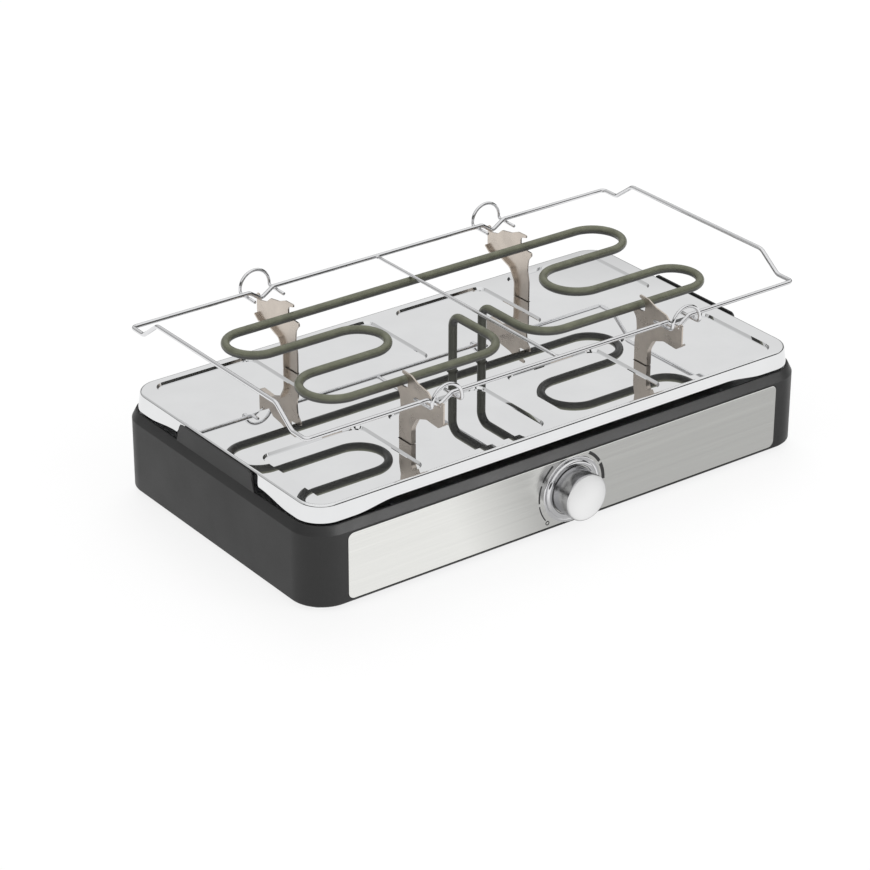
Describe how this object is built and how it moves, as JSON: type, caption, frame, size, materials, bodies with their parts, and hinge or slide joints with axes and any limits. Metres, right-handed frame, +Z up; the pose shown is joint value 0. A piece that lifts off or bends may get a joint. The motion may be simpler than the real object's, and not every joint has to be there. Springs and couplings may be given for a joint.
{
  "type": "raclette base",
  "caption": "Low electric raclette base: moulded housing with steel front and dial, polished tray, bent heating element on hooked brackets, and a loose wire rack.",
  "frame": {"origin": "middle of the whole part's box, on the surface under the feet", "axes": "+X along the front to the right, -Y towards the user at the dial, +Z up"},
  "size_m": [0.45, 0.2704, 0.146],
  "materials": {
    "black_plastic": "fine grain, satin",
    "cover_plastic": "matte",
    "foot_rubber": "matte",
    "panel_steel": "brushed along its length",
    "print": "printed",
    "bright_chrome": "polished",
    "satin_metal": "satin",
    "hub_plastic": "matte",
    "zinc_steel": "zinc plated",
    "pale_plastic": "moulded",
    "terminal_brass": "bare",
    "shield_sheet": "mill finish",
    "mirror_steel": "mirror polished stainless sheet",
    "element_tube": "oxidised olive grey",
    "bracket_steel": "satin, slightly brown",
    "rack_chrome": "plated wire",
    "brown_lead": "sleeved",
    "grey_lead": "sleeved",
    "blue_lead": "sleeved",
    "green_lead": "sleeved"
  },
  "bodies": {
    "base": {"housing": "black_plastic", "bottom_cover": "cover_plastic", "cover_screws": "zinc_steel", "feet": "foot_rubber", "front_panel": "panel_steel", "dial_marks": "print", "knob_bezel": "bright_chrome", "thermostat_body": "pale_plastic", "thermostat_plate": "zinc_steel", "thermostat_screws": "zinc_steel", "thermostat_blades": "terminal_brass", "heat_shield": "shield_sheet", "shield_screws": "zinc_steel", "tray": "mirror_steel", "tray_studs": "zinc_steel", "tray_spacers": "zinc_steel", "tray_nuts": "zinc_steel", "element": "element_tube", "element_flange": "zinc_steel", "flange_screws": "zinc_steel", "element_seals": "pale_plastic", "element_pins": "zinc_steel", "bracket_front_left": "bracket_steel", "bracket_front_right": "bracket_steel", "bracket_back_left": "bracket_steel", "bracket_back_right": "bracket_steel", "cord_gland": "cover_plastic", "gland_nut": "cover_plastic", "terminal_block": "pale_plastic", "terminal_barrels": "terminal_brass", "thermal_fuse": "pale_plastic", "fuse_clip": "zinc_steel", "live_lead": "brown_lead", "switched_lead": "grey_lead", "fuse_lead": "grey_lead", "neutral_lead": "blue_lead", "earth_lead": "green_lead", "earth_screw": "terminal_brass"},
    "knob": {"knob_cap": "satin_metal", "knob_hub": "hub_plastic", "thermostat_shaft": "zinc_steel"},
    "rack": {"rack_frame": "rack_chrome", "rack_cross_wire": "rack_chrome", "loop_front_left": "rack_chrome", "loop_front_right": "rack_chrome", "loop_back_left": "rack_chrome", "loop_back_right": "rack_chrome"}
  },
  "joints": [
    {"name": "knob_turn", "type": "hinge", "parent": "base", "child": "knob", "pos_m": [0, -0.1178, 0.0309], "axis": [0, 1, 0], "range_deg": [0, 270]},
    {"name": "rack_lift", "type": "slide", "parent": "base", "child": "rack", "axis": [0, 0, 1], "range_m": [0, 0.08]}
  ]
}
